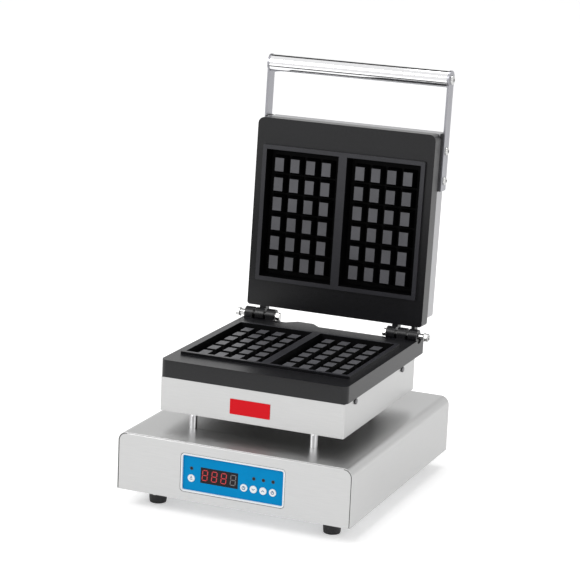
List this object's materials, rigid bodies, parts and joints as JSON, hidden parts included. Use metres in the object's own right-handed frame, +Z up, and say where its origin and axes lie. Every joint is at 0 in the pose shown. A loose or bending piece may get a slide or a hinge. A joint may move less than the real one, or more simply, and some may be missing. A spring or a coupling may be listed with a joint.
{
  "type": "commercial waffle maker",
  "caption": "Table-top waffle maker: ribbed twin-well plates, a tilting upper plate with a tube handle, on a low control base with a display and keys.",
  "frame": {"origin": "on the worktop, under the middle of the machine's box with the lid open", "axes": "+X to the operator's right, +Y to the back, +Z up"},
  "size_m": [0.324, 0.4041, 0.5534],
  "materials": {
    "stainless_satin": "satin brushed sheet",
    "sheet_plain": "plain galvanised sheet",
    "nonstick_casting": "speckled matte non-stick coating",
    "chrome": "bright chrome",
    "arm_steel": "satin stainless flat bar",
    "zinc": "bright zinc plate",
    "element_steel": "oxidised steel tube",
    "rubber": "black rubber",
    "pad_black": "black heat resistant board",
    "white_plastic": "white moulded plastic",
    "overlay_blue": "blue printed foil",
    "display_black": "dark tinted acrylic",
    "lamp_lens": "dark lamp lens",
    "circuit_board": "green circuit board",
    "component_black": "black component case",
    "blanket": "mineral fibre blanket",
    "brass": "brass",
    "badge_red": "red lacquer"
  },
  "bodies": {
    "base": {"base_floor": "sheet_plain", "base_front_wall": "stainless_satin", "base_rear_wall": "stainless_satin", "base_shell": "stainless_satin", "board_pillars": "brass", "body_floor": "sheet_plain", "body_grommet": "rubber", "body_screws": "zinc", "body_shell": "stainless_satin", "buzzer": "component_black", "cable_gland": "component_black", "control_board": "circuit_board", "display_module": "display_black", "display_window": "display_black", "earth_terminal": "brass", "floor_screws": "zinc", "foot_bolts": "zinc", "front_badge": "badge_red", "hinge_nuts": "zinc", "hinge_pins": "zinc", "hinge_spacers": "zinc", "indicator_lamps": "lamp_lens", "key_switches": "component_black", "lower_blanket": "blanket", "lower_element": "element_steel", "lower_heater_screws": "zinc", "lower_plate": "nonstick_casting", "lower_pressing_plate": "sheet_plain", "lower_sensors": "element_steel", "lower_shield": "sheet_plain", "panel_carrier": "white_plastic", "panel_fasteners": "zinc", "panel_overlay": "overlay_blue", "post_nuts": "zinc", "posts": "chrome", "power_board": "circuit_board", "relays": "component_black", "rubber_feet": "rubber", "terminal_block": "white_plastic", "transformer": "component_black"},
    "lid": {"upper_plate": "nonstick_casting", "lid_cover": "stainless_satin", "lid_grommet": "rubber", "upper_element": "element_steel", "upper_pressing_plate": "sheet_plain", "upper_blanket": "blanket", "upper_shield": "sheet_plain", "upper_heater_screws": "zinc", "upper_sensors": "element_steel", "arm_pads": "pad_black", "handle_arms": "arm_steel", "handle_bar": "chrome", "bar_plugs": "zinc", "handle_screws": "zinc"},
    "key_mode_body": {"key_mode": "white_plastic"},
    "key_timer_body": {"key_timer": "white_plastic"},
    "key_down_body": {"key_down": "white_plastic"},
    "key_up_body": {"key_up": "white_plastic"},
    "key_power_body": {"key_power": "white_plastic"}
  },
  "joints": [
    {"name": "lid_hinge", "type": "hinge", "parent": "base", "child": "lid", "pos_m": [0, 0.12604, 0.1944], "axis": [1, 0, 0], "range_deg": [0, 93.2]},
    {"name": "key_mode_press", "type": "slide", "parent": "base", "child": "key_mode_body", "axis": [0, 1, 0], "range_m": [0, 0.0007], "stiffness_N_per_m": 400, "springref_m": -0.0006},
    {"name": "key_timer_press", "type": "slide", "parent": "base", "child": "key_timer_body", "axis": [0, 1, 0], "range_m": [0, 0.0007], "stiffness_N_per_m": 400, "springref_m": -0.0006},
    {"name": "key_down_press", "type": "slide", "parent": "base", "child": "key_down_body", "axis": [0, 1, 0], "range_m": [0, 0.0007], "stiffness_N_per_m": 400, "springref_m": -0.0006},
    {"name": "key_up_press", "type": "slide", "parent": "base", "child": "key_up_body", "axis": [0, 1, 0], "range_m": [0, 0.0007], "stiffness_N_per_m": 400, "springref_m": -0.0006},
    {"name": "key_power_press", "type": "slide", "parent": "base", "child": "key_power_body", "axis": [0, 1, 0], "range_m": [0, 0.0007], "stiffness_N_per_m": 400, "springref_m": -0.0006}
  ]
}
